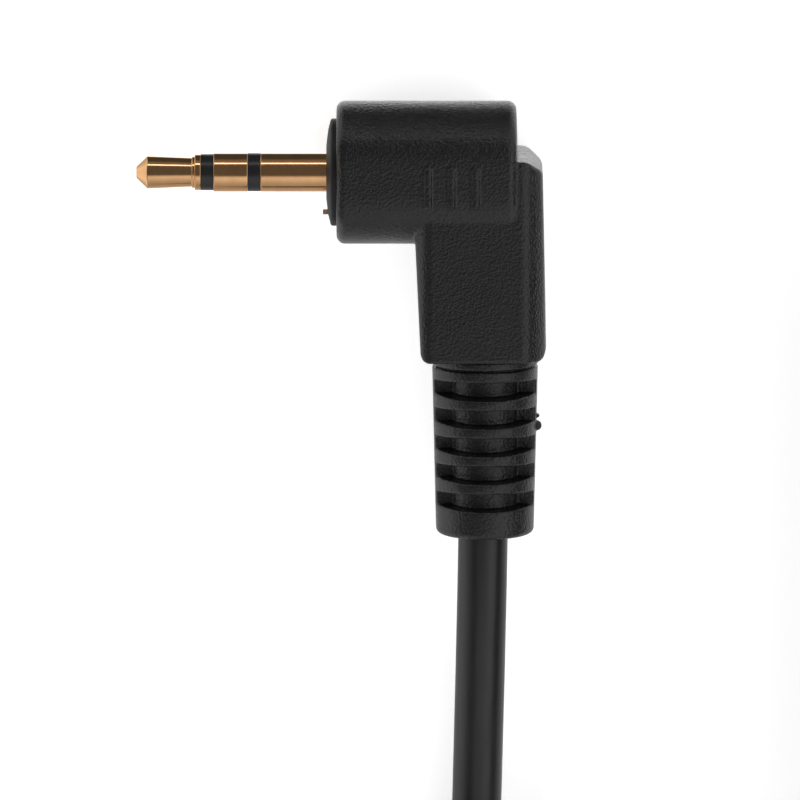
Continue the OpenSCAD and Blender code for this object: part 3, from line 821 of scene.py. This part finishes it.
def grommet_room(u, v, w):
    across = np.hypot(u, w)
    hole = np.maximum(across - GROMMET_HOLE_R, v + HALF_L - 6)
    pocket = np.maximum(across - GROMMET_FLANGE_R - 0.05, slab(v, FLANGE_V - 0.05, FLANGE_V + 1.25))
    return np.minimum(hole, pocket)


def case_top_field(x, y, z):
    """The upper shell, with the slide's well and the bosses that the case screws hold."""
    u, v, w = x - HAND_X, y - HAND_Y, z - PARTING
    pod = pod_field(u, v, w)
    shell = np.maximum(pod, -pod - WALL)
    tray = round_box(u, v - WELL_V, WELL_HALF_W + WALL, WELL_HALF_L + WALL, WELL_CORNER + 1.3)
    tray = np.maximum(tray, WELL_Z - TRAY_T - z)
    posts = np.maximum(bosses(u, v, BOSS_R), -w)
    shell = np.minimum(shell, np.maximum(pod + WALL / 2, np.minimum(tray, posts)))
    shell = round_and(shell, -w, 0.16)
    well = round_box(u, v - WELL_V, WELL_HALF_W, WELL_HALF_L, WELL_CORNER)
    shell = cut(shell, round_and(well, WELL_Z - z, 0.1), 0.35)
    opening = round_box(u, v - BUTTON_V - 2, 6.2, 8.2, 0.3)
    shell = np.maximum(shell, -np.maximum(opening, WELL_Z - TRAY_T - 1 - z))
    shell = np.maximum(shell, -np.maximum(bosses(u, v, SCREW_R), w - 4.4))
    return cut(shell, grommet_room(u, v, w), 0.1)


def case_bottom_field(x, y, z):
    """The lower shell, with the screws' recesses and the seats of the contacts and cord."""
    u, v, w = x - HAND_X, y - HAND_Y, z - PARTING
    pod = pod_field(u, v, w)
    shell = np.maximum(pod, -pod - WALL)
    seat = np.maximum(abs(u) - SEAT_HALF_W, np.maximum(slab(v, *SEAT_V), z - SEAT_Z))
    anvil = np.maximum(abs(u) - ANVIL_HALF_W, np.maximum(slab(v, *ANVIL_V), w - ANVIL_W))
    inner = np.minimum(np.minimum(bosses(u, v, BOSS_R), seat), anvil)
    shell = np.minimum(shell, np.maximum(pod + WALL / 2, inner))
    shell = round_and(shell, np.minimum(w, anvil), 0.16)
    recess = np.maximum(bosses(u, v, RECESS_R), z - FLOOR - RECESS_DEPTH)
    shell = cut(shell, np.minimum(recess, bosses(u, v, SCREW_R + 0.15)), 0.12)
    channel = np.maximum(abs(u) - CORD_R - 0.1, np.maximum(slab(v, -28, -22), -w - CORD_R - 0.1))
    shell = np.maximum(shell, -channel)
    return cut(shell, grommet_room(u, v, w), 0.1)


def make_case():
    room = 0.9
    low, high = HAND_LOW - room, HAND_HIGH + room
    for name, field, z0, z1 in (
        ("case_top_shell", case_top_field, PARTING - room, high[2]),
        ("case_bottom_shell", case_bottom_field, low[2], PARTING + 2),
    ):
        yield surface(name, field, (*low[:2], z0), (*high[:2], z1), 0.29)


for piece, node in zip(make_case(), ("case_top", "case_bottom")):
    finish_piece(piece, "case_plastic", MAIN, node)


# ---------------------------------------------------------------- hand switch: slide, button, entry

PLATE_V, PLATE_HALF_W, PLATE_HALF_L, PLATE_T = 6.0, 7.5, 12.0, 2.3
RIDGES, RIDGE_V, RIDGE_PITCH = 4, PLATE_V + 4.2, 1.8
BUTTON_R, FLANGE_R, STEM_R = 4.5, 5.1, 1.5
GROOVES, GROOVE_PITCH, GROOVE_W, GROOVE_R = 4, 1.9, 0.8, 2.3
SLEEVE_IN, SLEEVE_END_R, FIRST_GROOVE = 0.7, 2.7, 2.2  # of the grommet's tapered sleeve


def slide_field(x, y, z):
    """The lock slide: a round-edged plate with four ridges, a hole for the button, two legs."""
    u, v = x - HAND_X, y - HAND_Y
    plan = round_box(u, v - PLATE_V, PLATE_HALF_W, PLATE_HALF_L, 4)
    top = PLATE_Z + PLATE_T
    plate = round_and(plan, slab(z, PLATE_Z, top - 0.05), 0.5)
    for i in range(RIDGES):
        ridge = round_box(u, v - RIDGE_V - i * RIDGE_PITCH, 4.5, 0.36, 0.3)
        ridge = round_and(ridge, slab(z, top - 0.4, top + 0.42), 0.3)
        plate = round_or(plate, ridge, 0.15)
    plate = cut(plate, np.hypot(u, v - BUTTON_V) - BUTTON_R - 0.2, 0.25)
    legs = round_box(abs(u) - 5.7, v - BUTTON_V, 0.4, 6, 0.15)
    return np.minimum(plate, np.maximum(legs, slab(z, PLATE_LOW[2], PLATE_Z + 0.3)))


def make_slide():
    return surface("lock_slide_ridged", slide_field, PLATE_LOW - 0.5, PLATE_HIGH + 0.5, 0.16)


def make_button():
    """The release button: a stem, a flange that the slide holds down, and a dished top."""
    low, high = box_mm("release_button")
    flange = PLATE_Z - 0.1
    profile = [
        (low[2], 0, 0), (low[2], STEM_R, 0.15), (flange - 1, STEM_R, 0.1),
        (flange - 1, FLANGE_R, 0.1),
        (flange, FLANGE_R, 0.1), (flange, BUTTON_R, 0.05), (high[2] - 0.08, BUTTON_R, 0.55),
        (high[2] - 0.05, 3.4, 0.6), (high[2] - 0.4, 1.6, 1.2), (high[2] - 0.42, 0, 0),
    ]
    return turned("release_button_dished", profile, along_z_at(*BUTTON_AT[:2]), 128)


def make_grommet():
    """The hand switch's grommet: a flange inside the case and a tapered, grooved sleeve."""
    low, high = box_mm("hand_grommet")
    start, end = HAND_Y - HALF_L + SLEEVE_IN, low[1]
    taper = (SLEEVE_END_R - GROMMET_HOLE_R) / (end - start)
    bore = CORD_R + 0.03
    profile = [(end, bore, 0), (end, SLEEVE_END_R, 0.35)]
    for i in reversed(range(GROOVES)):
        far = HAND_Y - HALF_L - FIRST_GROOVE - i * GROOVE_PITCH - GROOVE_W
        for y in (far, far + GROOVE_W):
            outer = (y, GROMMET_HOLE_R + (y - start) * taper, 0.12)
            inner = (y, GROOVE_R, 0.1)
            profile += [outer, inner] if y == far else [inner, outer]
    profile += [
        (start, GROMMET_HOLE_R - 0.02, 0), (HAND_Y + FLANGE_V, GROMMET_HOLE_R - 0.02, 0),
        (HAND_Y + FLANGE_V, GROMMET_FLANGE_R, 0.1), (high[1], GROMMET_FLANGE_R, 0.1),
        (high[1], bore, 0),
    ]
    return turned("hand_grommet_grooved", profile, along_y_at(HAND_X, PARTING), 96)


finish_piece(make_slide(), "slide_plastic", SLIDE, "lock_slide")
finish_piece(make_button(), "button_plastic", BUTTON, "release_button")
grommet = finish_piece(make_grommet(), "plug_pvc", MAIN, "hand_grommet")


# ---------------------------------------------------------------- light and floor

LIT = (5, -14, 0)  # where the lamps aim


def lamp(name, place, size, power):
    light = bpy.data.objects.new(name, bpy.data.lights.new(name, "AREA"))
    light.data.shape = "RECTANGLE"
    light.data.size, light.data.size_y = size
    light.data.energy = power
    light.location = Vector(place)
    aim = Vector(LIT) * MM - light.location
    light.rotation_euler = aim.to_track_quat("-Z", "Y").to_euler()
    bpy.context.scene.collection.objects.link(light)
    return light


def ramp(tree, factor, stops):
    """Grey levels along a factor, from (place, level) stops."""
    node = tree.nodes.new("ShaderNodeValToRGB")
    for i, (place, level) in enumerate(stops):
        made = node.color_ramp.elements
        element = made[i] if i < 2 else made.new(place)
        element.position, element.color = place, (level, level, level, 1)
    tree.links.new(factor, node.inputs["Fac"])
    return node.outputs["Color"]


# What the object mirrors, by height of the direction: (z from -1 to 1, level) stops
MIRRORED = {
    "front": [
        (-1, 0.75), (1, 0.1), (-0.48, 0.42), (0.1, 0.35), (0.5, 0.48), (0.88, 0.75), (0.94, 0.55),
        (0.98, 0.12),
    ],
    "back": [
        (-1, 1.6), (1, 0.1), (-0.9, 1.6), (-0.83, 0.06), (-0.1, 0.06), (0.1, 0.15), (0.4, 0.25),
        (0.44, 2.8), (0.5, 2.8), (0.54, 0.15), (0.72, 0.1),
    ],
    "right": [
        (-1, 0.8), (1, 0.3), (-0.3, 0.58), (0.1, 0.5), (0.35, 0.8), (0.75, 0.95), (0.93, 0.6),
    ],
    "left": [
        (-1, 0.5), (1, 0.12), (-0.55, 0.6), (-0.2, 1.0), (0.2, 0.8), (0.6, 0.12), (0.85, 0.06),
    ],
}


def spread_over(tree, value, low, high):
    node = tree.nodes.new("ShaderNodeMapRange")
    node.inputs["From Min"].default_value = low
    node.inputs["From Max"].default_value = high
    tree.links.new(value, node.inputs["Value"])
    return node.outputs["Result"]


def mixed(tree, factor, first, second):
    node = tree.nodes.new("ShaderNodeMixRGB")
    for socket, value in zip(("Fac", "Color1", "Color2"), (factor, first, second)):
        tree.links.new(value, node.inputs[socket])
    return node.outputs["Color"]


def surroundings(tree):
    """Grey soft boxes on four sides, each with its own levels from the ground up."""
    place = tree.nodes.new("ShaderNodeTexCoord").outputs["Generated"]
    parts = tree.nodes.new("ShaderNodeSeparateXYZ")
    tree.links.new(place, parts.inputs["Vector"])
    x, y, z = (parts.outputs[axis] for axis in "XYZ")
    height = spread_over(tree, z, -1, 1)
    side = {
        name: ramp(tree, height, [((at + 1) / 2, level) for at, level in stops])
        for name, stops in MIRRORED.items()
    }
    ahead = mixed(tree, spread_over(tree, y, -0.15, 0.15), side["front"], side["back"])
    aside = mixed(tree, spread_over(tree, x, -0.1, 0.1), side["left"], side["right"])
    width = tree.nodes.new("ShaderNodeMath")
    width.operation = "ABSOLUTE"
    tree.links.new(x, width.inputs[0])
    return mixed(tree, spread_over(tree, width.outputs[0], 0.15, 0.5), ahead, aside)


def studio():
    """Soft, even light. The lamps light the object without mirroring in it."""
    scene = bpy.context.scene
    scene.view_settings.view_transform = "Standard"
    scene.view_settings.look = "None"
    world = bpy.data.worlds.new("studio")
    scene.world = world
    world.use_nodes = True
    tree = world.node_tree
    tree.links.new(surroundings(tree), tree.nodes["Background"].inputs["Color"])
    for name, place, size, power in (
        ("front", (0.0, -0.45, 0.2), (0.6, 0.3), 1.3),
        ("right", (0.42, -0.12, 0.25), (0.3, 0.3), 0.8),
        ("left", (-0.42, -0.05, 0.25), (0.3, 0.3), 0.6),
    ):
        lamp(name, place, size, power).visible_glossy = False


def floor():
    """White paper, far wider than the view."""
    size, z = 2000, FLOOR - 0.02
    corners = [(-size, -size, z), (size, -size, z), (size, size, z), (-size, size, z)]
    piece = mesh_piece("floor", corners, [(0, 1, 2, 3)], smooth=False)
    look = Look("floor_paper", (0.93, 0.93, 0.93), 0.9)
    look.bump(look.noise([3, 3, 3], 3.0), 0.02)
    look.shader.inputs["Emission Color"].default_value = (1, 1, 1, 1)
    look.shader.inputs["Emission Strength"].default_value = 0.62
    piece.data.materials.append(look.material)
    piece.visible_glossy = False


studio()
floor()


# ---------------------------------------------------------------- pieces kept from the frame

SLOT_OF = {row["node"]: row["material_slot"] for row in frame["record"]["subparts"]}
for node, cad_piece in frame["nodes"].items():
    dress(cad_piece, SLOT_OF[node])

LEAVES = ("leaf_common", "leaf_focus", "leaf_release")


def lower_leaves():
    """Each contact leaf gets its own copy of its mesh; nothing here flattens or bends them. Real
    leaves keep their thickness and their clamped ends."""
    for leaf in LEAVES:
        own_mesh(frame["nodes"][leaf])


lower_leaves()
